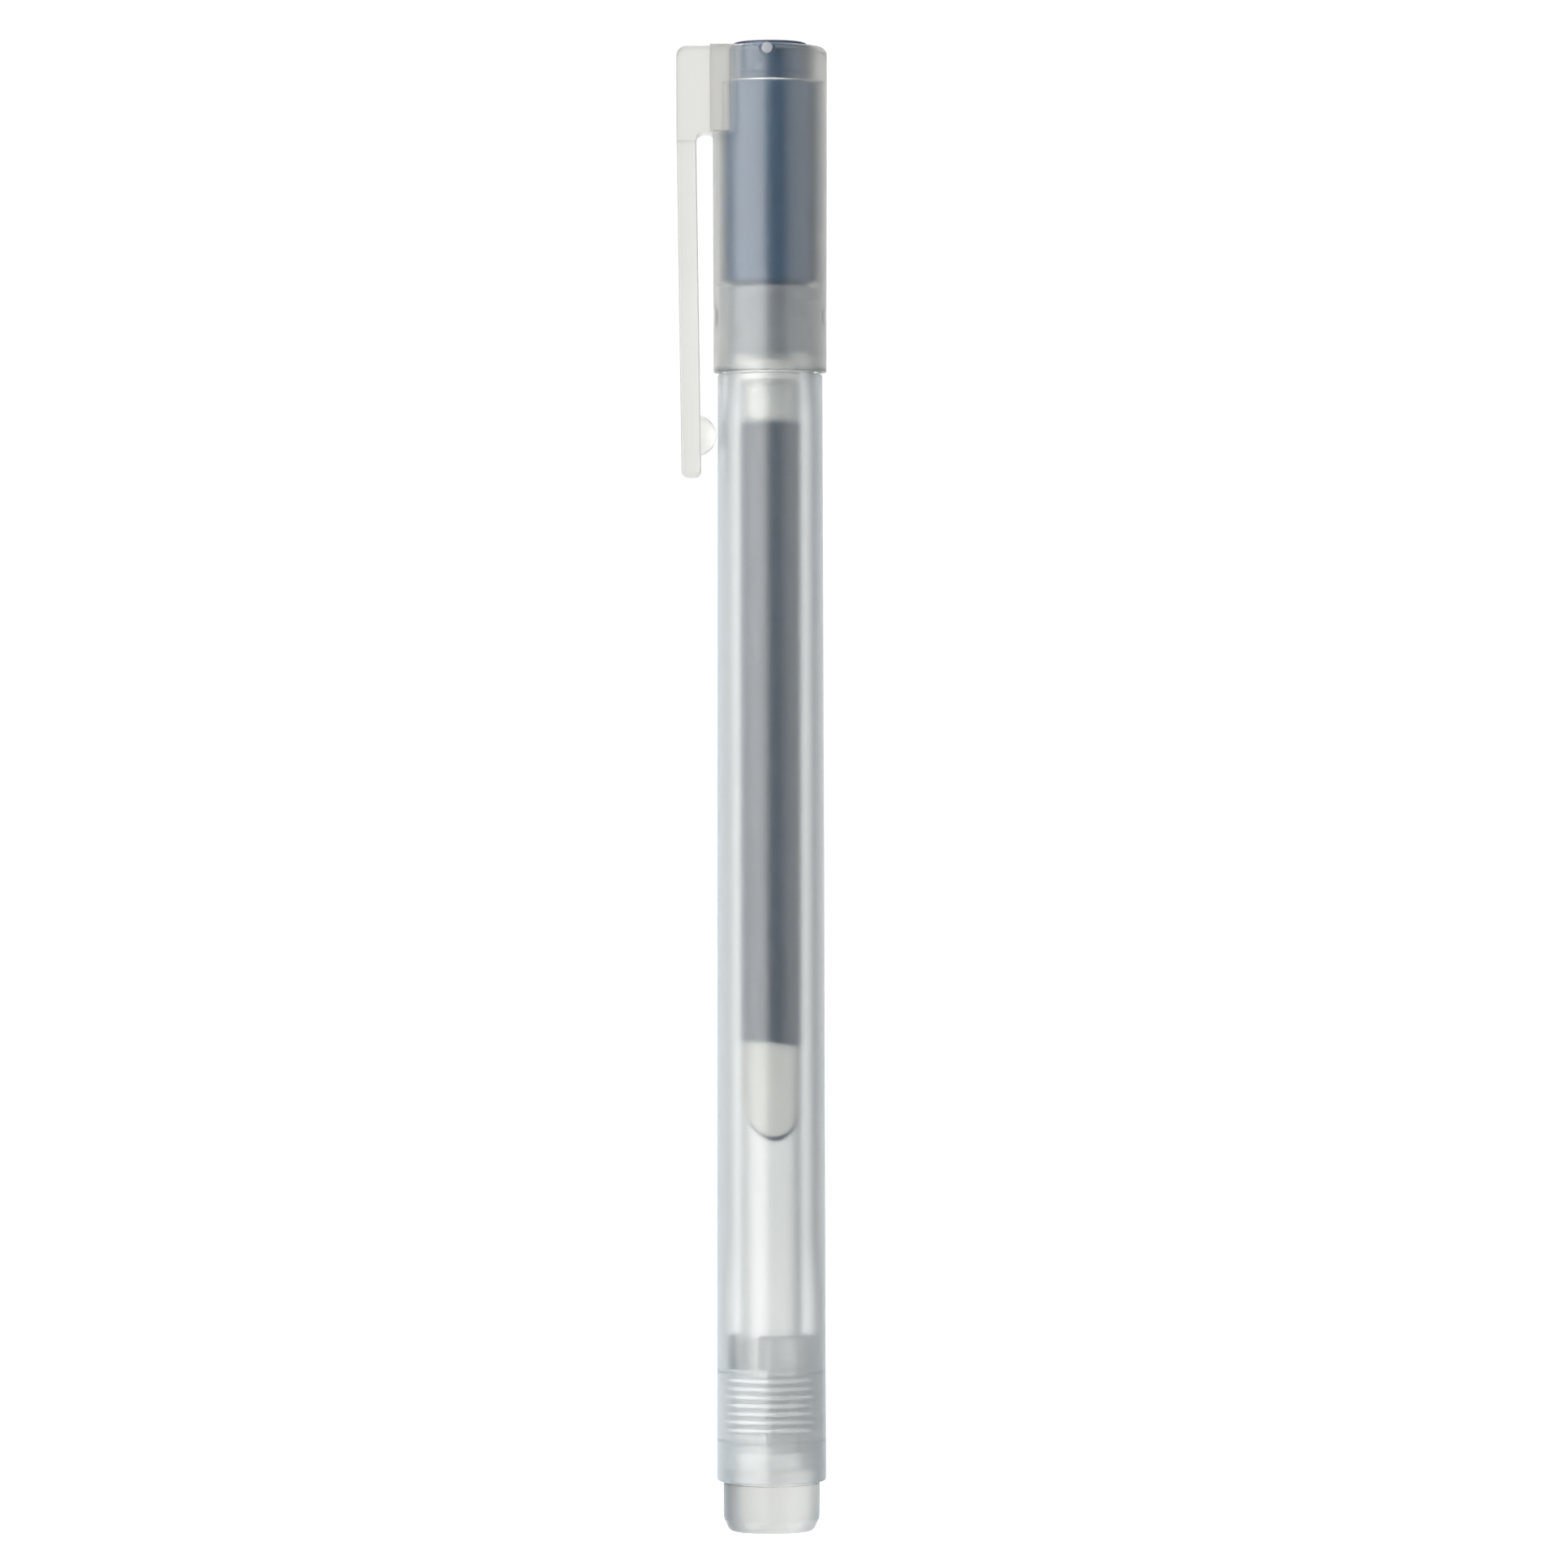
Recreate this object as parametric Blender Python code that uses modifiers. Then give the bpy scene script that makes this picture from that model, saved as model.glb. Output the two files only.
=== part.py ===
"""Capped gel pen, built as its separate mouldings, refill and tip.

The pen stands on its rear plug. Its long axis is +Z, the origin is on that axis at the flat end of
the rear plug, and the pocket clip is on the -X side. Units are metres.
"""
import math

import bmesh
import bpy
from mathutils import Vector

MM = 0.001

# Driving dimensions: stations along the axis
BARREL_REAR = 5.0 * MM
REAR_BORE_END = 26.2 * MM
BARREL_SHOULDER = 115.9 * MM
NECK_END = 124.6 * MM
CAP_MOUTH = 116.1 * MM
CAP_TOP = 148.7 * MM
CAP_SHELF = 145.2 * MM
PEN_TOP = 149.3 * MM

# Driving dimensions: radii
BARREL_REAR_R = 5.5 * MM
BARREL_FRONT_R = 5.25 * MM
MAIN_BORE_R = 4.25 * MM
NECK_R = 4.45 * MM
NECK_BORE_R = 3.9 * MM
CAP_TOP_R = 5.74 * MM
CAP_MOUTH_R = 5.66 * MM
CAP_BORE_R = 4.75 * MM
CAP_WINDOW_R = 3.85 * MM
PLUG_BODY_R = 4.6 * MM
PLUG_HEAD_R = 3.75 * MM
REAR_HEAD_R = 4.85 * MM
REFILL_R = 3.1 * MM
REFILL_BORE_R = 2.5 * MM

# Clearances
PRESS_GAP = 0.08 * MM
REST_GAP = 0.3 * MM
LIQUID_GAP = 0.05 * MM

# Snap fit of the cap on the neck
SNAP_BEAD_Z = (123.3 * MM, 124.3 * MM)
SNAP_BEAD_R = 4.55 * MM
LOCATING_RING_Z = (118.1 * MM, 118.5 * MM)
SNAP_BUMPS = 6
SNAP_BUMP_Z = 121.7 * MM
SNAP_BUMP_HEIGHT = 0.14 * MM
SNAP_BUMP_HALF_WIDTH = 1.15 * MM
SNAP_BUMP_HALF_LENGTH = 0.95 * MM

# Pocket clip, in the XZ plane
CLIP_ROOT_Z = 140.1 * MM
CLIP_TIP_Z = 105.6 * MM
CLIP_ROOT_X = -9.33 * MM
CLIP_TIP_X = -8.87 * MM
CLIP_THICKNESS = 1.95 * MM
CLIP_HALF_WIDTH = 2.25 * MM
CLIP_TIP_ROUND = 0.65 * MM
CLIP_BALL_R = 2.08 * MM
CLIP_BALL_X = -7.45 * MM
CLIP_BALL_Z = 109.8 * MM
ROOT_CORNER_R = 1.0 * MM
ROOT_PAD_X = -5.95 * MM
ROOT_PAD_INNER_X = -2.8 * MM
ROOT_PAD_HALF_WIDTH = 4.1 * MM

# Rear plug
RIB_COUNT = 7
RIB_PITCH = 0.83 * MM
RIB_FIRST_Z = 10.35 * MM
RIB_R = 4.62 * MM
SPIGOT_R = 4.3 * MM
SPIGOT_TOP = 19.8 * MM
SOCKET_FLOOR = 6.2 * MM
SLOT_WIDTH = 4.0 * MM
SLOT_FLOOR = 16.4 * MM

# Refill and tip
REFILL_TAIL = 8.0 * MM
REFILL_FRONT = 115.0 * MM
FOLLOWER_REAR = 39.7 * MM
INK_REAR = 48.6 * MM
INK_FRONT = 111.0 * MM
TIP_HOLDER_REAR = 111.2 * MM
TIP_HOLDER_FRONT = 132.0 * MM
HOLDER_FRONT = 135.7 * MM
NIB_TIP = 138.95 * MM
BALL_R = 0.25 * MM
BALL_CLEARANCE = 0.03 * MM
BALL_Z = 138.9 * MM

SEGMENTS = 48
FINE_SEGMENTS = 24
MERGE_DISTANCE = 1e-6
SHARP_ANGLE = math.radians(32)


def material(name, colour, roughness, metallic=0.0):
    """A Principled material with one colour."""
    result = bpy.data.materials.new(name)
    result.use_nodes = True
    shader = result.node_tree.nodes["Principled BSDF"]
    shader.inputs["Base Color"].default_value = (*colour, 1.0)
    shader.inputs["Roughness"].default_value = roughness
    shader.inputs["Metallic"].default_value = metallic
    return result


def clear_scene():
    """Start from an empty scene."""
    for obj in list(bpy.data.objects):
        bpy.data.objects.remove(obj, do_unlink=True)


def new_collection(name):
    """A collection linked to the scene."""
    result = bpy.data.collections.new(name)
    bpy.context.scene.collection.children.link(result)
    return result


def mesh_object(name, mesh, collection):
    """An object for a mesh, linked to one collection."""
    result = bpy.data.objects.new(name, mesh)
    collection.objects.link(result)
    return result


def arc(centre_r, centre_z, radius, start, end, steps):
    """Points on a circular arc in the profile plane, angles in degrees from +X towards +Z."""
    points = []
    for step in range(steps + 1):
        angle = math.radians(start + (end - start) * step / steps)
        points.append((centre_r + radius * math.cos(angle), centre_z + radius * math.sin(angle)))
    return points


def turned(name, profile, collection, segments=SEGMENTS, ring=True):
    """A profile of (radius, height) points turned about Z with a Screw modifier.

    The profile runs down the outer side. A ring profile then comes back up the bore.
    """
    mesh = bpy.data.meshes.new(name)
    shape = bmesh.new()
    verts = [shape.verts.new((radius, 0.0, height)) for radius, height in profile]
    pairs = list(zip(verts, verts[1:]))
    if ring:
        pairs.append((verts[-1], verts[0]))
    for pair in pairs:
        shape.edges.new(pair)
    shape.to_mesh(mesh)
    shape.free()
    result = mesh_object(name, mesh, collection)
    screw = result.modifiers.new("turn", "SCREW")
    screw.axis = "Z"
    screw.angle = 2 * math.pi
    screw.steps = segments
    screw.render_steps = segments
    screw.use_merge_vertices = True
    screw.merge_threshold = MERGE_DISTANCE
    return result


def extruded(name, outline, half_thickness, collection):
    """A flat outline in local XY, extruded both ways along local Z, as a closed mesh."""
    curve = bpy.data.curves.new(name, "CURVE")
    curve.dimensions = "2D"
    curve.fill_mode = "BOTH"
    curve.extrude = half_thickness
    spline = curve.splines.new("POLY")
    spline.points.add(len(outline) - 1)
    for point, (x, y) in zip(spline.points, outline):
        point.co = (x, y, 0.0, 1.0)
    spline.use_cyclic_u = True
    source = bpy.data.objects.new(name + "_outline", curve)
    collection.objects.link(source)
    graph = bpy.context.evaluated_depsgraph_get()
    mesh = bpy.data.meshes.new_from_object(source.evaluated_get(graph))
    bpy.data.objects.remove(source, do_unlink=True)
    weld = bmesh.new()
    weld.from_mesh(mesh)
    bmesh.ops.remove_doubles(weld, verts=weld.verts, dist=MERGE_DISTANCE)
    bmesh.ops.recalc_face_normals(weld, faces=weld.faces)
    weld.to_mesh(mesh)
    weld.free()
    return mesh_object(name, mesh, collection)


def hide_cutter(cutter):
    """Mark an object as a tool that shapes another one."""
    cutter.hide_render = True
    cutter.display_type = "WIRE"


def combine(target, tool, operation):
    """Add a Boolean of one object with a tool."""
    hide_cutter(tool)
    boolean = target.modifiers.new(operation.lower(), "BOOLEAN")
    boolean.operation = operation
    boolean.solver = "EXACT"
    boolean.object = tool


def finish(obj, finish_material):
    """Give a part its material and smooth shading with sharp corners kept."""
    bpy.context.view_layer.update()
    graph = bpy.context.evaluated_depsgraph_get()
    mesh = bpy.data.meshes.new_from_object(obj.evaluated_get(graph))
    obj.modifiers.clear()
    obj.data = mesh
    mesh.materials.clear()
    mesh.materials.append(finish_material)
    mesh.shade_smooth()
    mesh.set_sharp_from_angle(angle=SHARP_ANGLE)


def build_barrel(parts, finish_material):
    """Frosted barrel: long tapered tube with a stepped rear bore and a neck for the cap."""
    edge = 0.8 * MM
    lead_in = 0.25 * MM
    shoulder_round = 0.2 * MM
    bead_lo, bead_hi = SNAP_BEAD_Z
    ring_lo, ring_hi = LOCATING_RING_Z
    outer = [
        (NECK_R - lead_in, NECK_END),
        (NECK_R, NECK_END - lead_in),
        (NECK_R, bead_hi),
        (SNAP_BEAD_R, bead_hi - lead_in),
        (SNAP_BEAD_R, bead_lo + lead_in),
        (NECK_R, bead_lo),
        (NECK_R, ring_hi),
        (SNAP_BEAD_R, ring_hi - 0.1 * MM),
        (SNAP_BEAD_R, ring_lo + 0.1 * MM),
        (NECK_R, ring_lo),
        (NECK_R, BARREL_SHOULDER),
        (BARREL_FRONT_R - shoulder_round, BARREL_SHOULDER),
        (BARREL_FRONT_R, BARREL_SHOULDER - shoulder_round),
    ]
    outer += arc(BARREL_REAR_R - edge, BARREL_REAR + edge, edge, 0, -80, 4)
    bore = [
        (4.85 * MM, BARREL_REAR),
        (4.80 * MM, 9.1 * MM),
        (4.72 * MM, 9.3 * MM),
        (4.72 * MM, 15.9 * MM),
        (4.62 * MM, 16.2 * MM),
        (4.62 * MM, REAR_BORE_END),
        (MAIN_BORE_R, REAR_BORE_END + 0.35 * MM),
        (MAIN_BORE_R, BARREL_SHOULDER - 0.9 * MM),
        (NECK_BORE_R, BARREL_SHOULDER - 0.4 * MM),
        (NECK_BORE_R, NECK_END),
    ]
    barrel = turned("barrel", outer + bore, parts)
    finish(barrel, finish_material)


def clip_outline():
    """Side outline of the clip arm, from its bend line down to its rounded tip."""
    top = CLIP_ROOT_Z - REST_GAP
    tip_round = CLIP_TIP_ROUND
    inner_tip_x = CLIP_TIP_X + CLIP_THICKNESS
    outline = [(CLIP_ROOT_X + CLIP_THICKNESS, top), (CLIP_ROOT_X, top)]
    outline += arc(CLIP_TIP_X + tip_round, CLIP_TIP_Z + tip_round, tip_round, 180, 270, 4)
    outline += arc(inner_tip_x - tip_round, CLIP_TIP_Z + tip_round, tip_round, 270, 360, 4)
    return outline


def build_clip(parts, tools, finish_material):
    """Clip arm with the half-ball that presses on the barrel."""
    arm = extruded("clip_arm", clip_outline(), CLIP_HALF_WIDTH, parts)
    arm.rotation_euler = (math.pi / 2, 0.0, 0.0)
    dome = turned("clip_ball_tool", arc(0, 0, CLIP_BALL_R, 90, 0, 6) + [(0.0, 0.0)],
                  tools, FINE_SEGMENTS, ring=False)
    dome.location = (CLIP_BALL_X, 0.0, CLIP_BALL_Z)
    dome.rotation_euler = (0.0, math.pi / 2, 0.0)
    combine(arm, dome, "UNION")
    finish(arm, finish_material)
    hinge = Vector((CLIP_ROOT_X + CLIP_THICKNESS / 2, 0.0, CLIP_ROOT_Z))
    move_origin(arm, hinge)


def move_origin(obj, point):
    """Put an object's origin at a world point, its surface left where it is."""
    bpy.context.view_layer.update()
    obj.data.transform(obj.matrix_world)
    obj.rotation_euler = (0.0, 0.0, 0.0)
    obj.location = point
    for vertex in obj.data.vertices:
        vertex.co -= point


def root_block(tools):
    """Solid that joins the clip to the cap: a web as wide as the clip on a wider pad.

    The pad squares off the side of the round cap. Its inner part lies in the cap's wall and bore; the
    bore is cut afterwards.
    """
    overlap = 0.6 * MM
    half_plan = [
        (CLIP_ROOT_X - overlap, CLIP_HALF_WIDTH),
        (ROOT_PAD_X, CLIP_HALF_WIDTH),
        (ROOT_PAD_X, ROOT_PAD_HALF_WIDTH),
        (ROOT_PAD_INNER_X, ROOT_PAD_HALF_WIDTH),
    ]
    plan = half_plan + [(x, -y) for x, y in reversed(half_plan)]
    side = [
        (ROOT_PAD_INNER_X + overlap, CAP_TOP),
        (ROOT_PAD_INNER_X + overlap, CLIP_ROOT_Z),
        (CLIP_ROOT_X, CLIP_ROOT_Z),
    ]
    corner = ROOT_CORNER_R
    side += reversed(arc(CLIP_ROOT_X + corner, CAP_TOP - corner, corner, 90, 180, 5))
    block = extruded("clip_root_tool", plan, 10 * MM, tools)
    block.location = (0.0, 0.0, CAP_TOP - 5 * MM)
    side_tool = extruded("clip_root_side_tool", side, 2 * ROOT_PAD_HALF_WIDTH, tools)
    side_tool.rotation_euler = (math.pi / 2, 0.0, 0.0)
    combine(block, side_tool, "INTERSECT")
    return block


def snap_bump(index, tools):
    """One low oval bump on the cap's bore."""
    mesh = bpy.data.meshes.new("snap_bump_tool_%d" % index)
    shape = bmesh.new()
    bmesh.ops.create_uvsphere(shape, u_segments=12, v_segments=8, radius=1.0)
    depth = 2.5 * SNAP_BUMP_HEIGHT
    size = (depth, SNAP_BUMP_HALF_WIDTH, SNAP_BUMP_HALF_LENGTH)
    bmesh.ops.scale(shape, vec=size, verts=shape.verts)
    shape.to_mesh(mesh)
    shape.free()
    bump = mesh_object(mesh.name, mesh, tools)
    angle = math.radians(index * 360 / SNAP_BUMPS)
    reach = CAP_BORE_R - SNAP_BUMP_HEIGHT + depth
    bump.location = (reach * math.cos(angle), reach * math.sin(angle), SNAP_BUMP_Z)
    bump.rotation_euler = (0.0, 0.0, angle)
    return bump


def build_cap(parts, tools, finish_material):
    """Frosted cap shell with the clip's root block, a stepped bore and six snap bumps."""
    edge = 0.75 * MM
    mouth_round = 0.15 * MM
    outside = [(0.0, CAP_TOP)]
    outside += arc(CAP_TOP_R - edge, CAP_TOP - edge, edge, 90, 0, 4)
    outside += [
        (CAP_MOUTH_R, CAP_MOUTH + mouth_round),
        (CAP_MOUTH_R - mouth_round, CAP_MOUTH),
        (0.0, CAP_MOUTH),
    ]
    past = 1.0 * MM
    bore = [
        (0.0, CAP_TOP + past),
        (CAP_WINDOW_R, CAP_TOP + past),
        (CAP_WINDOW_R, CAP_SHELF),
        (CAP_BORE_R, CAP_SHELF),
        (CAP_BORE_R, CAP_MOUTH + 0.4 * MM),
        (CAP_BORE_R + 0.15 * MM, CAP_MOUTH),
        (CAP_BORE_R + 0.15 * MM, CAP_MOUTH - past),
        (0.0, CAP_MOUTH - past),
    ]
    cap = turned("cap_shell", outside, parts, ring=False)
    combine(cap, root_block(tools), "UNION")
    combine(cap, turned("cap_bore_tool", bore, tools, ring=False), "DIFFERENCE")
    for index in range(SNAP_BUMPS):
        combine(cap, snap_bump(index, tools), "UNION")
    finish(cap, finish_material)


def build_cap_plug(parts, finish_material):
    """Coloured inner cap: a closed sleeve that seals the tip, with its head in the cap's top."""
    shoulder = CAP_SHELF - 0.1 * MM
    dome = 0.15 * MM
    head_round = 0.2 * MM
    outer = [
        (0.0, PEN_TOP),
        (PLUG_HEAD_R * 0.6, PEN_TOP - dome * 0.36),
        (PLUG_HEAD_R - head_round, PEN_TOP - dome),
        (PLUG_HEAD_R, PEN_TOP - dome - head_round),
        (PLUG_HEAD_R, shoulder),
        (PLUG_BODY_R - head_round, shoulder),
        (PLUG_BODY_R, shoulder - head_round),
        (PLUG_BODY_R, 125.3 * MM),
        (PLUG_BODY_R - 0.1 * MM, 125.1 * MM),
    ]
    inside = [
        (4.25 * MM, 125.1 * MM),
        (4.25 * MM, 126.3 * MM),
        (3.95 * MM, 126.7 * MM),
        (3.95 * MM, 130.2 * MM),
        (1.48 * MM, 134.6 * MM),
        (1.48 * MM, 139.6 * MM),
        (0.0, 140.2 * MM),
    ]
    plug = turned("cap_plug", outer + inside, parts, ring=False)
    finish(plug, finish_material)


def build_front_holder(parts, finish_material):
    """Nose that is pressed into the neck and carries the tip of the refill."""
    stop = NECK_END + REST_GAP
    outer = [
        (1.25 * MM, HOLDER_FRONT),
        (1.40 * MM, HOLDER_FRONT - 0.15 * MM),
        (1.40 * MM, HOLDER_FRONT - 1.5 * MM),
        (3.75 * MM, stop + 0.8 * MM),
        (4.10 * MM, stop + 0.8 * MM),
        (4.10 * MM, stop),
        (NECK_BORE_R - PRESS_GAP, stop),
        (NECK_BORE_R - PRESS_GAP, 118.2 * MM),
        (NECK_BORE_R - 0.3 * MM, 117.9 * MM),
    ]
    bore = [
        (2.10 * MM, 117.9 * MM),
        (2.10 * MM, 126.2 * MM),
        (1.25 * MM, 132.4 * MM),
    ]
    holder = turned("front_holder", outer + bore, parts)
    finish(holder, finish_material)


def build_rear_plug(parts, tools, finish_material):
    """Ribbed end plug with a socket for the refill's tail."""
    head = BARREL_REAR - 0.2 * MM
    outer = [(SPIGOT_R - 0.2 * MM, SPIGOT_TOP), (SPIGOT_R, SPIGOT_TOP - 0.2 * MM)]
    for index in reversed(range(RIB_COUNT)):
        middle = RIB_FIRST_Z + index * RIB_PITCH
        outer += [
            (SPIGOT_R, middle + 0.36 * RIB_PITCH),
            (RIB_R, middle + 0.14 * RIB_PITCH),
            (RIB_R, middle - 0.14 * RIB_PITCH),
            (SPIGOT_R, middle - 0.36 * RIB_PITCH),
        ]
    outer += [
        (SPIGOT_R, 9.1 * MM),
        (4.6 * MM, 8.9 * MM),
        (4.6 * MM, head),
        (REAR_HEAD_R, head),
        (REAR_HEAD_R, 1.9 * MM),
        (REAR_HEAD_R - 0.07 * MM, 1.3 * MM),
        (REAR_HEAD_R - 0.19 * MM, 0.85 * MM),
        (REAR_HEAD_R - 0.36 * MM, 0.45 * MM),
        (REAR_HEAD_R - 0.60 * MM, 0.12 * MM),
        (REAR_HEAD_R - 0.80 * MM, 0.0),
        (0.0, 0.0),
    ]
    socket = [
        (0.0, SOCKET_FLOOR),
        (REFILL_R + 0.2 * MM, SOCKET_FLOOR),
        (REFILL_R + 0.2 * MM, SPIGOT_TOP - 0.3 * MM),
        (REFILL_R + 0.5 * MM, SPIGOT_TOP),
    ]
    plug = turned("rear_plug", outer + socket, parts, ring=True)
    mesh = bpy.data.meshes.new("slot_tool")
    shape = bmesh.new()
    bmesh.ops.create_cube(shape, size=1.0)
    slot_height = 2 * (SPIGOT_TOP - SLOT_FLOOR)
    bmesh.ops.scale(shape, vec=(4 * SPIGOT_R, SLOT_WIDTH, slot_height), verts=shape.verts)
    shape.to_mesh(mesh)
    shape.free()
    slot = mesh_object("slot_tool", mesh, tools)
    slot.location = (0.0, 0.0, SPIGOT_TOP)
    slot.rotation_euler = (0.0, 0.0, math.radians(45))
    combine(plug, slot, "DIFFERENCE")
    finish(plug, finish_material)


def build_refill(parts, tube_material, holder_material, ink_material, follower_material):
    """Refill tube with its tip holder, ink column and grease follower."""
    tube_profile = [
        (REFILL_R, REFILL_FRONT),
        (REFILL_R, REFILL_TAIL),
        (REFILL_BORE_R, REFILL_TAIL),
        (REFILL_BORE_R, REFILL_FRONT),
    ]
    finish(turned("refill_tube", tube_profile, parts), tube_material)

    insert_r = REFILL_BORE_R - LIQUID_GAP
    collar_z = REFILL_FRONT + REST_GAP
    holder_profile = [
        (1.20 * MM, TIP_HOLDER_FRONT),
        (1.95 * MM, 126.0 * MM),
        (1.95 * MM, 117.4 * MM),
        (2.95 * MM, 117.4 * MM),
        (REFILL_R, 117.2 * MM),
        (REFILL_R, collar_z),
        (insert_r, collar_z),
        (insert_r, TIP_HOLDER_REAR),
        (1.00 * MM, TIP_HOLDER_REAR),
        (1.00 * MM, TIP_HOLDER_FRONT),
    ]
    finish(turned("tip_holder", holder_profile, parts), holder_material)

    ink_profile = [
        (0.0, INK_FRONT),
        (insert_r, INK_FRONT),
        (insert_r, INK_REAR),
        (0.0, INK_REAR),
    ]
    finish(turned("ink", ink_profile, parts, ring=False), ink_material)

    follower_profile = [
        (0.0, INK_REAR - LIQUID_GAP),
        (insert_r, INK_REAR - LIQUID_GAP),
        (insert_r, FOLLOWER_REAR),
        (0.0, FOLLOWER_REAR + 0.9 * MM),
    ]
    finish(turned("ink_follower", follower_profile, parts, ring=False), follower_material)


def build_nib(parts, steel, carbide):
    """Stainless tip with its ink channel, and the writing ball in its seat."""
    tail_z = 127.5 * MM
    body_z = TIP_HOLDER_FRONT + REST_GAP
    cone_z = 136.0 * MM
    seat_r = BALL_R + BALL_CLEARANCE
    channel_r = 0.4 * MM
    throat_r = 0.16 * MM
    lip_angle = math.degrees(math.asin((NIB_TIP - BALL_Z) / seat_r))
    floor_angle = -math.degrees(math.acos(throat_r / seat_r))
    outer = [
        (0.33 * MM, NIB_TIP),
        (1.15 * MM, cone_z),
        (1.15 * MM, body_z),
        (0.92 * MM, body_z),
        (0.92 * MM, tail_z),
    ]
    channel = [
        (channel_r, tail_z),
        (channel_r, BALL_Z - 1.2 * MM),
        (throat_r, BALL_Z - 0.8 * MM),
    ]
    seat = arc(0.0, BALL_Z, seat_r, floor_angle, lip_angle, 5)
    finish(turned("nib", outer + channel + seat, parts, FINE_SEGMENTS), steel)

    mesh = bpy.data.meshes.new("ball")
    shape = bmesh.new()
    bmesh.ops.create_uvsphere(shape, u_segments=FINE_SEGMENTS, v_segments=12, radius=BALL_R)
    shape.to_mesh(mesh)
    shape.free()
    ball = mesh_object("ball", mesh, parts)
    ball.location = (0.0, 0.0, BALL_Z)
    finish(ball, carbide)


def main():
    clear_scene()
    parts = new_collection("gel_pen")
    tools = new_collection("tools")
    frosted = material("frosted_plastic", (0.72, 0.74, 0.72), 0.45)
    navy = material("navy_plastic", (0.012, 0.035, 0.09), 0.35)
    refill_plastic = material("refill_plastic", (0.78, 0.80, 0.78), 0.35)
    white_plastic = material("white_plastic", (0.85, 0.85, 0.82), 0.4)
    ink = material("blue_black_ink", (0.008, 0.012, 0.035), 0.2)
    grease = material("clear_grease", (0.80, 0.78, 0.74), 0.3)
    steel = material("stainless_steel", (0.60, 0.59, 0.57), 0.25, 1.0)
    carbide = material("tungsten_carbide", (0.32, 0.32, 0.33), 0.2, 1.0)

    build_barrel(parts, frosted)
    build_cap(parts, tools, frosted)
    build_clip(parts, tools, frosted)
    build_cap_plug(parts, navy)
    build_front_holder(parts, navy)
    build_rear_plug(parts, tools, frosted)
    build_refill(parts, refill_plastic, white_plastic, ink, grease)
    build_nib(parts, steel, carbide)


main()
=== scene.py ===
"""Looks of a capped gel pen: frosted translucent plastic over a refill and a navy inner cap.

Sizes are in metres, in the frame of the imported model: +Z runs along the pen from its rear plug to its
cap, the pocket clip is on the -X side, and the photograph looks along +Y.
"""

import math

import bmesh
import bpy
import numpy as np
from mathutils import Matrix, Vector


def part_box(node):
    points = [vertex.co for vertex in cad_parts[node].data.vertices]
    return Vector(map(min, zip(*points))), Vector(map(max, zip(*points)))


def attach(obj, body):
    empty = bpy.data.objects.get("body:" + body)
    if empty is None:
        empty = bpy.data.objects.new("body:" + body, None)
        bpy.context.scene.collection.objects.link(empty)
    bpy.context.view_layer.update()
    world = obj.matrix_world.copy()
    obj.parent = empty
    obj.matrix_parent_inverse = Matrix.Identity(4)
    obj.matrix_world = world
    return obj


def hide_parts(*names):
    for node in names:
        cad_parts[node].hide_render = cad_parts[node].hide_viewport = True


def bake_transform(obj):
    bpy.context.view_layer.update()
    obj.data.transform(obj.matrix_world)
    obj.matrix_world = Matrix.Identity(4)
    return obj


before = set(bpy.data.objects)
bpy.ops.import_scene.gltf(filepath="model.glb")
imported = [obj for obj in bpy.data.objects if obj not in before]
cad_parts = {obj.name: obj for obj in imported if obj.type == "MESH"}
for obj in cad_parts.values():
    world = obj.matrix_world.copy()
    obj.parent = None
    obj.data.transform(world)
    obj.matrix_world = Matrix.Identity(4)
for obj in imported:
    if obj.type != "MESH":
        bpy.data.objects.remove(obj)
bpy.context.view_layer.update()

MM = 0.001
SEGMENTS = 160
FINE_SEGMENTS = 64
SHARP_ANGLE = math.radians(40)


# --- Sizes read from the frame -------------------------------------------------------------------

def low_z(node):
    """Lowest point of a CAD node."""
    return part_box(node)[0][2]


def high_z(node):
    """Highest point of a CAD node."""
    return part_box(node)[1][2]


def reach(node):
    """Largest radius of a round CAD node."""
    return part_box(node)[1][1]


PEN_TOP = high_z("cap_plug")
CAP_TOP = high_z("cap_shell")
CAP_MOUTH = low_z("cap_shell")
NECK_END = high_z("barrel")
BARREL_REAR = low_z("barrel")
BARREL_REAR_R = reach("barrel")
BARREL_SHOULDER = CAP_MOUTH - 0.2 * MM
BARREL_FRONT_R = BARREL_REAR_R - 0.25 * MM
NECK_R = 4.45 * MM
NECK_BORE_R = 3.9 * MM
REAR_BORE_R = 4.85 * MM
GRIP_BORE_R = 4.62 * MM
BARREL_BORE_R = 4.25 * MM
CAP_R = reach("cap_shell")
CAP_BORE_R = 4.75 * MM
CAP_SHELF = CAP_TOP - 3.5 * MM
CAP_WINDOW_R = 3.85 * MM
PLUG_R = reach("cap_plug")
PLUG_HEAD_R = CAP_WINDOW_R - 0.1 * MM
PLUG_MOUTH = low_z("cap_plug")
REFILL_R = reach("refill_tube")
REFILL_BORE_R = REFILL_R - 0.6 * MM
WET_R = REFILL_BORE_R + 0.006 * MM
FOLLOWER_RISE = 3.3 * MM
FOLLOWER_MIDDLE = low_z("ink_follower") + FOLLOWER_RISE
SPIGOT_R = 4.3 * MM
RIB_R = 4.62 * MM
SNAP_BUMP_Z = CAP_MOUTH + 5.6 * MM
CLIP_OUTER_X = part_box("cap_shell")[0][0]
CLIP_TIP_Z = low_z("clip_arm")
CLIP_HALF_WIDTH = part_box("clip_arm")[1][1]
CLIP_ROOT_Z = high_z("clip_arm") + 0.3 * MM
CLIP_THICKNESS = 1.95 * MM
ROOT_PAD_X = -5.95 * MM
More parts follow.
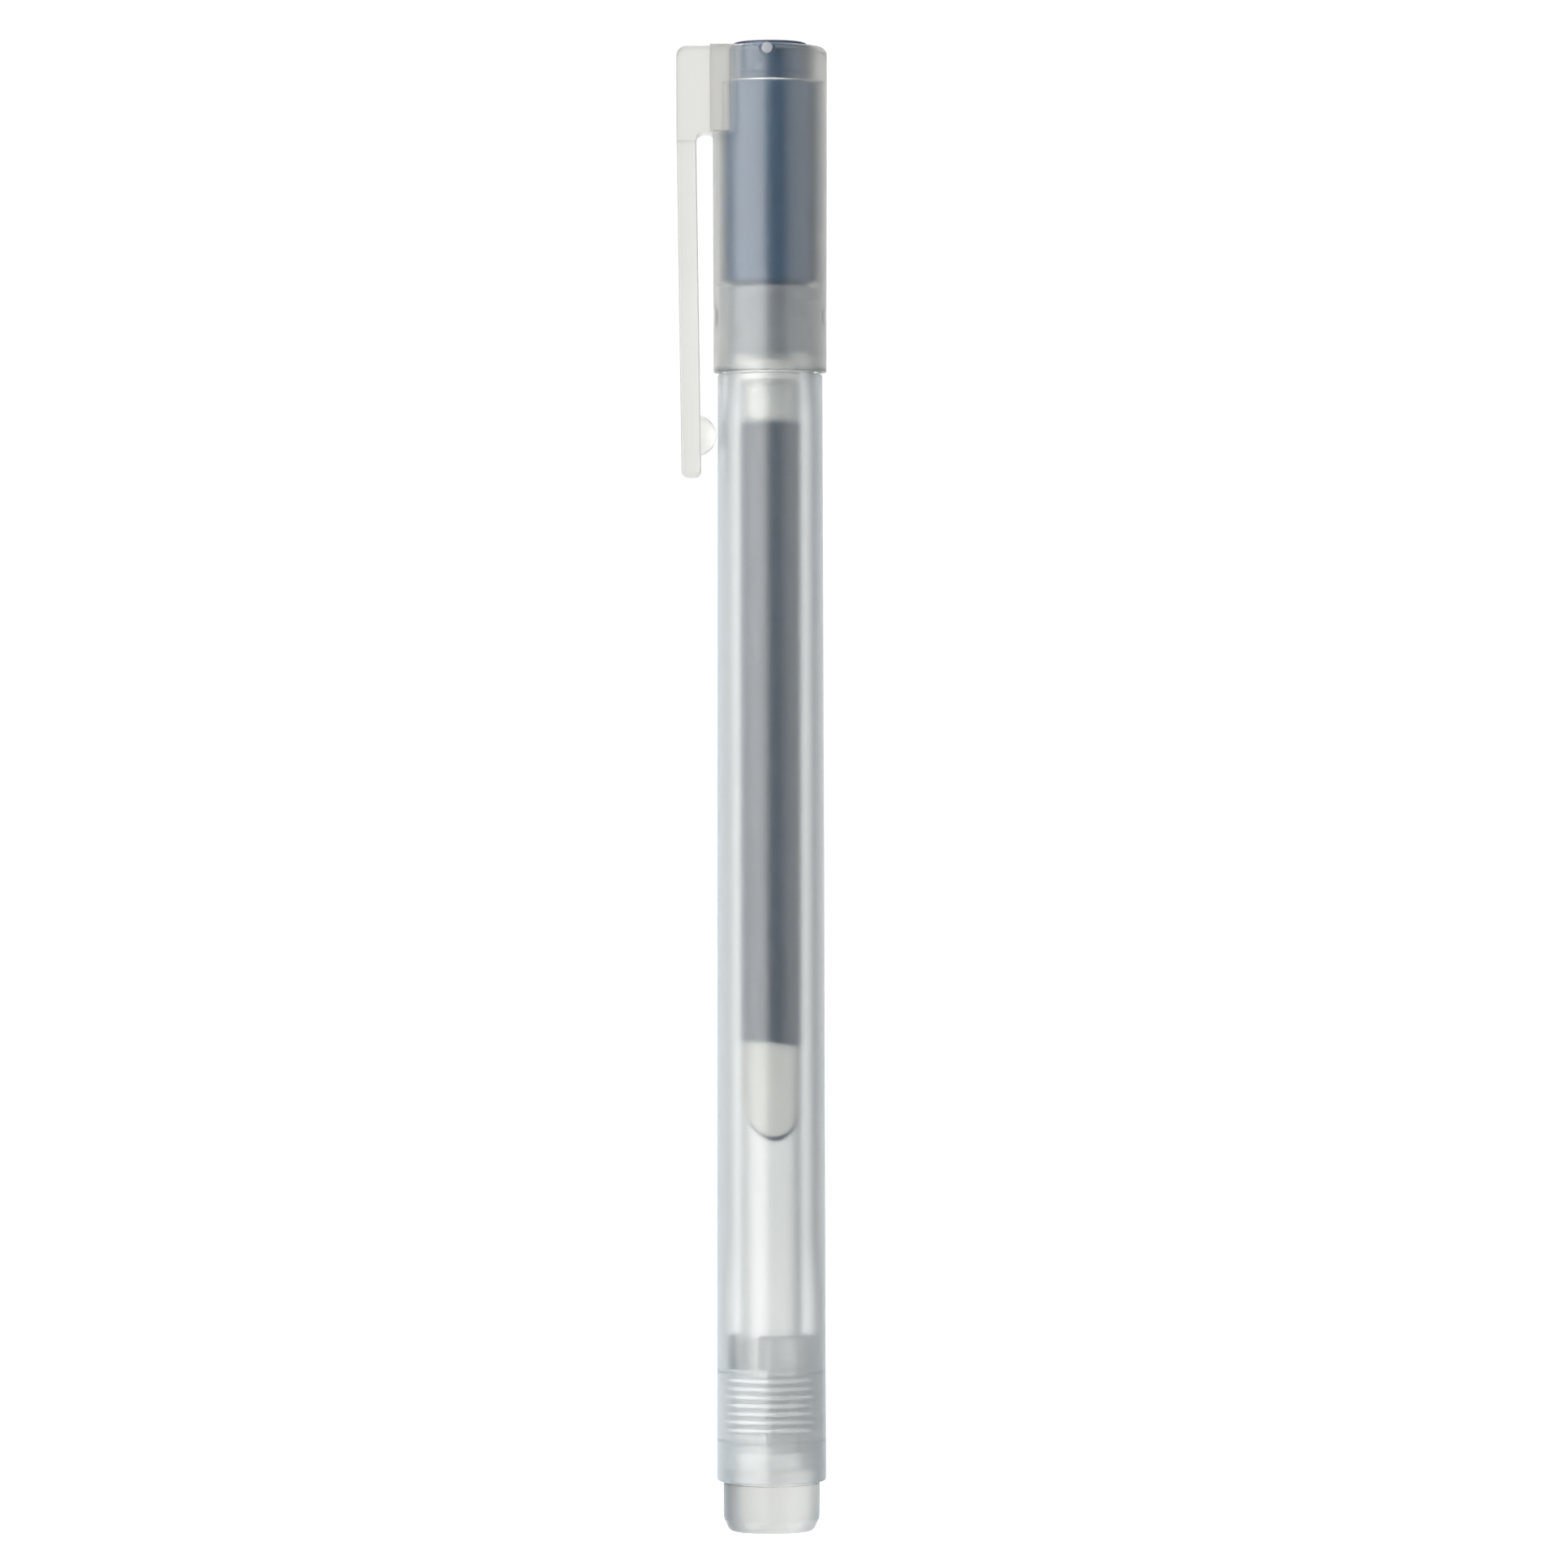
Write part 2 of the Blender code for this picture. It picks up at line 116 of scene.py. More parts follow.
ROOT_PAD_HALF_WIDTH = 4.1 * MM
CLIP_SEAM_Z = CLIP_ROOT_Z - 0.85 * MM
SEAM_GAP = 0.004 * MM
GATE_MARK = (-0.25 * MM, -CAP_R, CAP_TOP - 0.55 * MM)
GATE_R = 0.55 * MM
SEAT_TOP = BARREL_REAR + 4.2 * MM


# --- Camera, light and floor ---------------------------------------------------------------------

def make_camera():
    """Camera level with the middle of the pen, far enough to flatten the perspective."""
    distance = 0.7
    view_width = 157.3 * MM
    data = bpy.data.cameras.new("camera")
    data.sensor_width = 36.0
    data.lens = data.sensor_width * distance / view_width
    data.clip_start = 0.01
    camera = bpy.data.objects.new("camera", data)
    bpy.context.scene.collection.objects.link(camera)
    camera.location = (1.34 * MM, -distance, PEN_TOP / 2 + 0.2 * MM)
    camera.rotation_euler = (math.pi / 2, 0.0, 0.0)
    camera.rotation_euler.rotate_axis("Z", math.radians(-0.08))
    bpy.context.scene.camera = camera


def softbox(name, azimuth, elevation, distance, width, height, strength, tint):
    """A soft light that faces the pen, at an azimuth from the camera's side (left is negative)."""
    around = math.radians(azimuth)
    above = math.radians(elevation)
    data = bpy.data.lights.new(name, "AREA")
    data.shape = "RECTANGLE"
    data.size = width
    data.size_y = height
    data.color = tint
    data.energy = strength * 4 * width * height
    light = bpy.data.objects.new(name, data)
    bpy.context.scene.collection.objects.link(light)
    centre = Vector((0.0, 0.0, PEN_TOP / 2))
    flat = math.cos(above)
    offset = Vector((math.sin(around) * flat, -math.cos(around) * flat, math.sin(above))) * distance
    light.location = centre + offset
    light.rotation_euler = offset.to_track_quat("Z", "Y").to_euler()
    light.visible_camera = False


BACKDROP_AZIMUTH = math.radians(10)
BACKDROP_REACH = math.radians(58)


def make_world(front, back, seen_level):
    """A white background to look at, and soft surrounding light, brighter behind the pen."""
    world = bpy.data.worlds.new("studio")
    bpy.context.scene.world = world
    world.use_nodes = True
    nodes = world.node_tree.nodes
    links = world.node_tree.links
    nodes.clear()
    seen = nodes.new("ShaderNodeBackground")
    seen.inputs["Color"].default_value = (1.0, 1.0, 1.0, 1.0)
    seen.inputs["Strength"].default_value = seen_level
    direction = nodes.new("ShaderNodeTexCoord")
    level_part = nodes.new("ShaderNodeVectorMath")
    level_part.operation = "MULTIPLY"
    level_part.inputs[1].default_value = (1.0, 1.0, 0.0)
    heading = nodes.new("ShaderNodeVectorMath")
    heading.operation = "NORMALIZE"
    toward = nodes.new("ShaderNodeVectorMath")
    toward.operation = "DOT_PRODUCT"
    toward.inputs[1].default_value = (-math.sin(BACKDROP_AZIMUTH), math.cos(BACKDROP_AZIMUTH), 0.0)
    level = nodes.new("ShaderNodeMapRange")
    level.inputs["From Min"].default_value = math.cos(BACKDROP_REACH)
    level.inputs["From Max"].default_value = 1.0
    level.inputs["To Min"].default_value = front
    level.inputs["To Max"].default_value = back
    around = nodes.new("ShaderNodeBackground")
    around.inputs["Color"].default_value = (1.0, 1.0, 0.99, 1.0)
    path = nodes.new("ShaderNodeLightPath")
    mix = nodes.new("ShaderNodeMixShader")
    output = nodes.new("ShaderNodeOutputWorld")
    links.new(direction.outputs["Generated"], level_part.inputs[0])
    links.new(level_part.outputs["Vector"], heading.inputs[0])
    links.new(heading.outputs["Vector"], toward.inputs[0])
    links.new(toward.outputs["Value"], level.inputs["Value"])
    links.new(level.outputs["Result"], around.inputs["Strength"])
    links.new(path.outputs["Is Camera Ray"], mix.inputs["Fac"])
    links.new(around.outputs["Background"], mix.inputs[1])
    links.new(seen.outputs["Background"], mix.inputs[2])
    links.new(mix.outputs["Shader"], output.inputs["Surface"])


def make_floor():
    """A plain white floor, low enough for the rear plug to be drawn out above it."""
    size = 8.0
    drop = 25 * MM
    mesh = bpy.data.meshes.new("floor")
    shape = bmesh.new()
    bmesh.ops.create_grid(shape, x_segments=1, y_segments=1, size=size / 2)
    shape.to_mesh(mesh)
    shape.free()
    floor = bpy.data.objects.new("floor", mesh)
    floor.location.z = -drop
    bpy.context.scene.collection.objects.link(floor)
    paint = bpy.data.materials.new("floor_white")
    paint.use_nodes = True
    shader = paint.node_tree.nodes["Principled BSDF"]
    shader.inputs["Base Color"].default_value = (0.95, 0.95, 0.95, 1.0)
    shader.inputs["Roughness"].default_value = 0.9
    shader.inputs["Emission Color"].default_value = (1.0, 1.0, 1.0, 1.0)
    shader.inputs["Emission Strength"].default_value = 0.60
    mesh.materials.append(paint)
    floor.visible_glossy = False
    floor.visible_transmission = False


# --- Mesh tools ----------------------------------------------------------------------------------

def filleted(corners, steps=5):
    """Outline points from (radius, height, fillet radius) corners, in millimetres or metres alike."""
    outline = []
    count = len(corners)
    for index, (radius, height, fillet) in enumerate(corners):
        here = np.array((radius, height))
        back = np.array(corners[index - 1][:2]) - here
        ahead = np.array(corners[(index + 1) % count][:2]) - here
        back_length = np.linalg.norm(back)
        ahead_length = np.linalg.norm(ahead)
        if fillet <= 0:
            outline.append(tuple(here))
            continue
        back /= back_length
        ahead /= ahead_length
        half = math.acos(np.clip(back @ ahead, -1.0, 1.0)) / 2
        run = min(fillet / math.tan(half), 0.49 * back_length, 0.49 * ahead_length)
        turn_radius = run * math.tan(half)
        middle = back + ahead
        middle /= np.linalg.norm(middle)
        centre = here + middle * (turn_radius / math.sin(half))
        first = here + back * run - centre
        last = here + ahead * run - centre
        start = math.atan2(first[1], first[0])
        sweep = math.atan2(first[0] * last[1] - first[1] * last[0], first @ last)
        for step in range(steps + 1):
            angle = start + sweep * step / steps
            point = centre + turn_radius * np.array((math.cos(angle), math.sin(angle)))
            outline.append(tuple(point))
    return outline


def turned(name, outline, segments=SEGMENTS):
    """An outline of (radius, height) points turned about Z: down the outside, then up the bore."""
    mesh = bpy.data.meshes.new(name)
    shape = bmesh.new()
    turn = [2 * math.pi * step / segments for step in range(segments)]
    rings = []
    for radius, height in outline:
        if radius < 1e-8:
            rings.append([shape.verts.new((0.0, 0.0, height))])
        else:
            rings.append([shape.verts.new((radius * math.cos(angle), radius * math.sin(angle), height))
                          for angle in turn])
    for upper, lower in zip(rings, rings[1:] + rings[:1]):
        if len(upper) == 1 and len(lower) == 1:
            continue
        for step in range(segments):
            following = (step + 1) % segments
            if len(upper) == 1:
                corners = (upper[0], lower[step], lower[following])
            elif len(lower) == 1:
                corners = (upper[step], lower[0], upper[following])
            else:
                corners = (upper[step], lower[step], lower[following], upper[following])
            shape.faces.new(corners)
    shape.to_mesh(mesh)
    shape.free()
    piece = bpy.data.objects.new(name, mesh)
    bpy.context.scene.collection.objects.link(piece)
    return piece


def shaded(piece, material):
    """Smooth shading with sharp corners kept, and the piece's material."""
    mesh = piece.data
    mesh.shade_smooth()
    mesh.set_sharp_from_angle(angle=SHARP_ANGLE)
    mesh.materials.clear()
    mesh.materials.append(material)


def place(piece, body, slot, *nodes):
    """Say what body a piece moves with and the CAD nodes it stands for; the slot argument, for its finish,
    is not used.
    """
    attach(piece, body)
    if nodes:
        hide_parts(*nodes)


def prism(name, outline, half_depth):
    """A flat XY outline extruded both ways along Z, as a closed mesh."""
    mesh = bpy.data.meshes.new(name)
    shape = bmesh.new()
    near = [shape.verts.new((x, y, -half_depth)) for x, y in outline]
    far = [shape.verts.new((x, y, half_depth)) for x, y in outline]
    shape.faces.new(list(reversed(near)))
    shape.faces.new(far)
    count = len(outline)
    for index in range(count):
        following = (index + 1) % count
        shape.faces.new((near[index], near[following], far[following], far[index]))
    bmesh.ops.recalc_face_normals(shape, faces=shape.faces)
    shape.to_mesh(mesh)
    shape.free()
    piece = bpy.data.objects.new(name, mesh)
    bpy.context.scene.collection.objects.link(piece)
    return piece


def cut_with(piece, tool, operation):
    """Apply an exact Boolean and remove its tool."""
    boolean = piece.modifiers.new(operation, "BOOLEAN")
    boolean.operation = operation
    boolean.solver = "EXACT"
    boolean.object = tool
    settle(piece)
    bpy.data.objects.remove(tool, do_unlink=True)


def settle(piece):
    """Turn a piece's modifiers and placement into its mesh."""
    bpy.context.view_layer.update()
    graph = bpy.context.evaluated_depsgraph_get()
    mesh = bpy.data.meshes.new_from_object(piece.evaluated_get(graph))
    mesh.transform(piece.matrix_world)
    piece.modifiers.clear()
    piece.data = mesh
    piece.matrix_world = Matrix.Identity(4)


# --- Materials -----------------------------------------------------------------------------------

class Surface:
    """A Principled material with node shortcuts, in the piece's own coordinates."""

    def __init__(self, name):
        self.material = bpy.data.materials.new(name)
        self.material.use_nodes = True
        self.tree = self.material.node_tree
        self.shader = self.tree.nodes["Principled BSDF"]
        self.coordinates = self.tree.nodes.new("ShaderNodeTexCoord")

    def put(self, socket, value):
        """Set a constant on the shader."""
        self.shader.inputs[socket].default_value = value

    def noise(self, size, detail=3.0, stretch=(1.0, 1.0, 1.0)):
        """Noise whose features are about size across, stretched along the axes."""
        mapping = self.tree.nodes.new("ShaderNodeMapping")
        mapping.inputs["Scale"].default_value = [1.0 / (size * part) for part in stretch]
        noise = self.tree.nodes.new("ShaderNodeTexNoise")
        noise.inputs["Scale"].default_value = 1.0
        noise.inputs["Detail"].default_value = detail
        self.tree.links.new(self.coordinates.outputs["Object"], mapping.inputs["Vector"])
        self.tree.links.new(mapping.outputs["Vector"], noise.inputs["Vector"])
        return noise.outputs["Fac"]

    def stepped(self, value, edge, softness, low, high):
        """One number while a value is under an edge and another over it; high may also be a socket."""
        span = self.tree.nodes.new("ShaderNodeMapRange")
        span.inputs["From Min"].default_value = edge - softness
        span.inputs["From Max"].default_value = edge + softness
        span.inputs["To Min"].default_value = low
        if isinstance(high, float):
            span.inputs["To Max"].default_value = high
        else:
            self.tree.links.new(high, span.inputs["To Max"])
        self.tree.links.new(value, span.inputs["Value"])
        return span.outputs["Result"]

    def ranged(self, value, low, high):
        """Map a 0.3 to 0.7 noise value to a range."""
        return self.stepped(value, 0.5, 0.2, low, high)

    def vector(self, operation, first, second=(0.0, 0.0, 0.0)):
        """Vector arithmetic on a socket and a constant."""
        node = self.tree.nodes.new("ShaderNodeVectorMath")
        node.operation = operation
        node.inputs[1].default_value = second
        self.tree.links.new(first, node.inputs[0])
        return node

    def tinted(self, value, first, second):
        """Blend two colours by a noise value."""
        mix = self.tree.nodes.new("ShaderNodeMix")
        mix.data_type = "RGBA"
        mix.inputs["A"].default_value = (*first, 1.0)
        mix.inputs["B"].default_value = (*second, 1.0)
        self.tree.links.new(self.ranged(value, 0.0, 1.0), mix.inputs["Factor"])
        return mix.outputs["Result"]

    def drive(self, socket, output):
        """Link an output to the shader."""
        self.tree.links.new(output, self.shader.inputs[socket])

    def bump(self, height, depth):
        """Bump of a given depth in metres."""
        bump = self.tree.nodes.new("ShaderNodeBump")
        bump.inputs["Strength"].default_value = 1.0
        bump.inputs["Distance"].default_value = depth
        self.tree.links.new(height, bump.inputs["Height"])
        self.drive("Normal", bump.outputs["Normal"])

    def by_radius(self, edge, inner, outer):
        """One value inside a radius about the pen's axis and another outside it."""
        flat = self.vector("MULTIPLY", self.coordinates.outputs["Object"], (1.0, 1.0, 0.0))
        radius = self.vector("LENGTH", flat.outputs["Vector"])
        return self.stepped(radius.outputs["Value"], edge, 0.05 * MM, inner, outer)

    def by_height(self, edge, below, above):
        """One value below a height along the pen and another above it."""
        split = self.tree.nodes.new("ShaderNodeSeparateXYZ")
        self.tree.links.new(self.coordinates.outputs["Object"], split.inputs["Vector"])
        return self.stepped(split.outputs["Z"], edge, 0.1 * MM, below, above)

    def by_point(self, centre, size, near, far):
        """One value close to a point and another away from it."""
        distance = self.vector("DISTANCE", self.coordinates.outputs["Object"], centre)
        return self.stepped(distance.outputs["Value"], size, 0.1 * MM, near, far)

    def added(self, first, second):
        """Sum of two values."""
        total = self.tree.nodes.new("ShaderNodeMath")
        total.operation = "ADD"
        self.tree.links.new(first, total.inputs[0])
        self.tree.links.new(second, total.inputs[1])
        return total.outputs["Value"]

    def absorb(self, colour, density):
        """Loss of light with depth, in a see-through material."""
        depth = self.tree.nodes.new("ShaderNodeVolumeAbsorption")
        depth.inputs["Color"].default_value = (*colour, 1.0)
        depth.inputs["Density"].default_value = density
        self.tree.links.new(depth.outputs["Volume"], self.tree.nodes["Material Output"].inputs["Volume"])


PLASTIC_DEPTH_COLOUR = (0.35, 0.34, 0.30)
HAZE_COLOUR = (0.60, 0.82, 1.0)


def frosted_plastic(name, bore_edge, bore_roughness, roughness, haze, density, clarity):
    """Translucent polypropylene, satin outside and in its bore, with a bluish haze.

    Its clearness changes at a height along the pen: clarity is that height, the clearness below it, and
    the clearness above it or a function that makes it. It is fitted to the photograph, as the light loss
    (density, per metre) is. A see-through mesh has only one such material: with two, light that enters by
    one and leaves by the other would go on losing strength outside.
    """
    surface = Surface(name)
    cloud = surface.noise(9 * MM, detail=2.0, stretch=(1.0, 1.0, 3.0))
    surface.drive("Base Color", surface.tinted(cloud, (0.955, 0.96, 0.955), (0.985, 0.985, 0.98)))
    blotch = surface.ranged(surface.noise(1.2 * MM), -0.02, 0.02)
    finish = surface.by_radius(bore_edge, bore_roughness, roughness)
    surface.drive("Roughness", surface.added(finish, blotch))
    height, below, above = clarity
    if callable(above):
        above = above(surface)
    surface.drive("Transmission Weight", surface.by_height(height, below, above))
    surface.put("IOR", 1.49)
    surface.absorb(PLASTIC_DEPTH_COLOUR, density)
    surface.put("Sheen Weight", haze)
    surface.put("Sheen Roughness", 0.8)
    surface.put("Sheen Tint", (*HAZE_COLOUR, 1.0))
    surface.bump(surface.noise(0.07 * MM, detail=2.0), 0.0012 * MM)
    return surface.material


def gate_clarity(surface):
    """Clear cap plastic with a whiter spot at the gate mark."""
    return surface.by_point(GATE_MARK, GATE_R, 0.86, 1.0)


def spigot_clarity(surface):
    """Hazy spigot with whiter rib crests, and a clearer seat behind them."""
    ribs = surface.by_radius((SPIGOT_R + RIB_R) / 2, 0.84, 0.45)
    return surface.by_height(SEAT_TOP, 0.90, ribs)


def solid_plastic(name, colour, roughness):
    """Opaque moulded plastic with a fine satin grain."""
    surface = Surface(name)
    cloud = surface.noise(3 * MM, detail=2.0)
    darker = tuple(part * 0.9 for part in colour)
    surface.drive("Base Color", surface.tinted(cloud, darker, colour))
    surface.drive("Roughness", surface.ranged(surface.noise(0.6 * MM), roughness - 0.03, roughness + 0.03))
    surface.put("IOR", 1.5)
    surface.bump(surface.noise(0.08 * MM, detail=2.0), 0.001 * MM)
    return surface.material


def gel_ink():
    """Blue-black gel ink, wet, a little streaked along the tube's wall."""
    surface = Surface("blue_black_ink")
    streak = surface.noise(0.9 * MM, detail=3.0, stretch=(1.0, 1.0, 12.0))
    surface.drive("Base Color", surface.tinted(streak, (0.010, 0.014, 0.040), (0.018, 0.024, 0.060)))
    surface.put("Roughness", 0.18)
    surface.put("IOR", 1.36)
    surface.bump(surface.noise(0.5 * MM, detail=1.0), 0.002 * MM)
    return surface.material


def follower_grease():
    """Pale, cloudy grease."""
    surface = Surface("clear_grease")
    cloud = surface.noise(1.6 * MM, detail=3.0)
    surface.drive("Base Color", surface.tinted(cloud, (0.88, 0.86, 0.82), (0.95, 0.94, 0.91)))
    surface.put("Roughness", 0.35)
    surface.put("Transmission Weight", 0.8)
    surface.put("IOR", 1.03)
    surface.bump(surface.noise(0.8 * MM, detail=1.0), 0.004 * MM)
    return surface.material


def turned_metal(name, colour, roughness):
    """Turned metal with fine rings round the axis."""
    surface = Surface(name)
    rings = surface.noise(0.03 * MM, detail=2.0, stretch=(80.0, 80.0, 1.0))
    cloud = surface.noise(0.5 * MM)
    darker = tuple(part * 0.88 for part in colour)
    surface.drive("Base Color", surface.tinted(cloud, darker, colour))
    surface.drive("Roughness", surface.ranged(rings, roughness - 0.06, roughness + 0.08))
    surface.put("Metallic", 1.0)
    surface.bump(rings, 0.0006 * MM)
    return surface.material


# --- Pieces --------------------------------------------------------------------------------------

def scaled(corners):
    """Corners in millimetres as corners in metres."""
    return [(radius * MM, height * MM, fillet * MM) for radius, height, fillet in corners]


def build_barrel(material):
    """Barrel with its neck, snap beads and a bore that widens to the rear.

    The bore's two long cones stand for short steps, which would show as dark rings.
    """
    end = NECK_END / MM
    shoulder = BARREL_SHOULDER / MM
    rear = BARREL_REAR / MM
    neck = NECK_R / MM
    bead = neck + 0.1
    rear_bore = REAR_BORE_R / MM
    rib_bore = 4.72
    grip_bore = GRIP_BORE_R / MM
    bore = BARREL_BORE_R / MM
    corners = [
        (neck, end, 0.25),
        (neck, end - 0.25, 0.0),
        (bead, end - 0.5, 0.06),
        (bead, end - 1.1, 0.06),
        (neck, end - 1.3, 0.05),
        (neck, shoulder + 2.6, 0.05),
        (bead, shoulder + 2.5, 0.04),
        (bead, shoulder + 2.3, 0.04),
        (neck, shoulder + 2.2, 0.05),
        (neck, shoulder, 0.1),
        (BARREL_FRONT_R / MM, shoulder, 0.2),
        (BARREL_REAR_R / MM, rear, 0.8),
        (rear_bore, rear, 0.1),
        (rear_bore - 0.05, rear + 4.1, 0.05),
        (rib_bore, rear + 4.3, 0.05),
        (rib_bore, rear + 10.9, 0.05),
        (grip_bore, rear + 11.2, 0.05),
        (grip_bore, rear + 18.5, 0.5),
        (bore, rear + 24.5, 0.5),
        (bore, shoulder - 4.0, 0.5),
        (NECK_BORE_R / MM, shoulder - 0.4, 0.3),
        (NECK_BORE_R / MM, end, 0.1),
    ]
    barrel = turned("barrel_frosted", filleted(scaled(corners)))
    shaded(barrel, material)
    place(barrel, "barrel", "frosted_plastic", "barrel")


def snap_bump_depth(angle, height):
    """How far the six snap bumps stand in from the cap's bore at a point."""
    spacing = math.radians(60)
    offset = (angle + spacing / 2) % spacing - spacing / 2
    across = offset * CAP_BORE_R / (1.15 * MM)
    along = (height - SNAP_BUMP_Z) / (0.95 * MM)
    return 0.15 * MM * max(0.0, 1 - across ** 2 - along ** 2) ** 0.5


def build_cap(material):
    """Cap shell with a stepped bore, six snap bumps, the clip's root block and the gate mark."""
    top = CAP_TOP / MM
    mouth = CAP_MOUTH / MM
    bore = CAP_BORE_R / MM
    shelf = CAP_SHELF / MM
    window = CAP_WINDOW_R / MM
    bump_low = SNAP_BUMP_Z / MM - 1.1
    bump_high = SNAP_BUMP_Z / MM + 1.1
    corners = [
        (CAP_R / MM, top, 0.75),
        (CAP_R / MM - 0.08, mouth, 0.15),
        (bore + 0.15, mouth, 0.1),
        (bore, mouth + 0.5, 0.1),
    ]
    bump_rows = 22
    for row in range(bump_rows + 1):
        corners.append((bore, bump_low + (bump_high - bump_low) * row / bump_rows, 0.0))
    corners += [
        (bore, shelf, 0.12),
        (window, shelf, 0.1),
        (window, top, 0.15),
    ]
    cap = turned("cap_frosted", filleted(scaled(corners)), segments=288)
    for vertex in cap.data.vertices:
        radius = math.hypot(vertex.co.x, vertex.co.y)
        if abs(radius - CAP_BORE_R) < 0.001 * MM:
            angle = math.atan2(vertex.co.y, vertex.co.x)
            shrink = 1 - snap_bump_depth(angle, vertex.co.z) / radius
            vertex.co.x *= shrink
            vertex.co.y *= shrink
    root = clip_solid("clip_root_tool")
    keep_part(root, CLIP_SEAM_Z + SEAM_GAP / 2, PEN_TOP, 2 * CAP_R)
    rounded(root)
    cut_with(cap, root, "UNION")
    dish = gate_disc(GATE_R + 0.3 * MM, CAP_R - 0.25 * MM, CAP_R + 1 * MM)
    cut_with(cap, dish, "DIFFERENCE")
    cut_with(cap, gate_disc(GATE_R, CAP_BORE_R - 0.1 * MM, CAP_R - 0.02 * MM), "UNION")
    shaded(cap, material)
    weigh = cap.modifiers.new("flats", "WEIGHTED_NORMAL")
    weigh.keep_sharp = True
    place(cap, "cap", "frosted_plastic", "cap_shell")


def gate_disc(radius, inner, outer):
    """Round disc across the front of the cap's upper edge, from one distance from the axis to another."""
    outline = filleted([
        (0.0, outer, 0.0), (radius, outer, 0.06 * MM), (radius, inner, 0.0), (0.0, inner, 0.0)])
    disc = turned("gate_tool", outline, segments=48)
    disc.rotation_euler = (math.pi / 2, 0.0, 0.0)
    disc.location = (GATE_MARK[0], 0.0, GATE_MARK[2])
    settle(disc)
    return disc


def clip_side_outline():
    """Side view of the clip in XZ: root block, bend with its inner fillet, arm and rounded tip."""
    top = CAP_TOP / MM
    root = CLIP_ROOT_Z / MM
    tip = CLIP_TIP_Z / MM
    outer = CLIP_OUTER_X / MM
    thickness = CLIP_THICKNESS / MM
    lean = 0.46
    corners = [
        (outer, top, 1.0),
        (outer, root, 0.0),
        (outer + lean, tip, 0.65),
        (outer + lean + thickness, tip, 0.65),
        (outer + thickness, root, 0.75),
        (-2.0, root, 0.0),
        (-2.0, top, 0.0),
    ]
    return filleted(scaled(corners), steps=8)


def clip_plan_outline():
    """Plan view of the clip in XY: a web as wide as the arm on a wider pad against the round cap."""
    half = CLIP_HALF_WIDTH
    wide = ROOT_PAD_HALF_WIDTH
    outer = CLIP_OUTER_X - 0.5 * MM
    inside = (CAP_R + CAP_BORE_R) / 2
    spread = math.asin(wide / inside)
    steps = 48
    wrap = []
    for step in range(steps + 1):
        angle = math.pi + spread - 2 * spread * step / steps
        wrap.append((inside * math.cos(angle), inside * math.sin(angle)))
    side = [(ROOT_PAD_X, wide), (ROOT_PAD_X, half), (outer, half),
            (outer, -half), (ROOT_PAD_X, -half), (ROOT_PAD_X, -wide)]
    return side + wrap


def clip_solid(name):
    """The clip's arm and root as one solid, before its edges are rounded."""
    solid = prism(name, clip_plan_outline(), 40 * MM)
    solid.location = (0.0, 0.0, CAP_TOP - 30 * MM)
    side = prism("clip_side_tool", clip_side_outline(), 12 * MM)
    side.rotation_euler = (math.pi / 2, 0.0, 0.0)
    settle(side)
    settle(solid)
    cut_with(solid, side, "INTERSECT")
    return solid


def rounded(piece):
    """Round a clip solid's outside edges, twice as wide along the underside of the root block."""
    width = 0.25 * MM
    under_width = 0.5 * MM
    inside = (CAP_R + CAP_BORE_R) / 2
    shape = bmesh.new()
    shape.from_mesh(piece.data)
    bmesh.ops.dissolve_limit(shape, angle_limit=math.radians(0.5), verts=shape.verts, edges=shape.edges)
    weights = shape.edges.layers.float.new("bevel_weight_edge")
    for edge in shape.edges:
        ends = [vertex.co for vertex in edge.verts]
        at_seam = all(abs(end.z - CLIP_SEAM_Z) < 0.02 * MM for end in ends)
        hidden = all(math.hypot(end.x, end.y) < inside + 0.02 * MM for end in ends)
        if at_seam or hidden or edge.calc_face_angle() < math.radians(28):
            continue
        under = all(abs(end.z - CLIP_ROOT_Z) < 0.02 * MM for end in ends)
        edge[weights] = 1.0 if under else width / under_width
    shape.to_mesh(piece.data)
    shape.free()
    bevel = piece.modifiers.new("edges", "BEVEL")
    bevel.width = under_width
    bevel.segments = 4
    bevel.limit_method = "WEIGHT"
    settle(piece)


def keep_part(piece, low, high, half_width):
    """Keep the part of a piece between two heights and within a half-width of the XZ plane."""
    shape = bmesh.new()
    bmesh.ops.create_cube(shape, size=1.0)
    mesh = bpy.data.meshes.new("keep_tool")
    shape.to_mesh(mesh)
    shape.free()
    tool = bpy.data.objects.new("keep_tool", mesh)
    bpy.context.scene.collection.objects.link(tool)
    tool.scale = (40 * MM, 2 * half_width, high - low)
    tool.location = (0.0, 0.0, (high + low) / 2)
    settle(tool)
    cut_with(piece, tool, "INTERSECT")


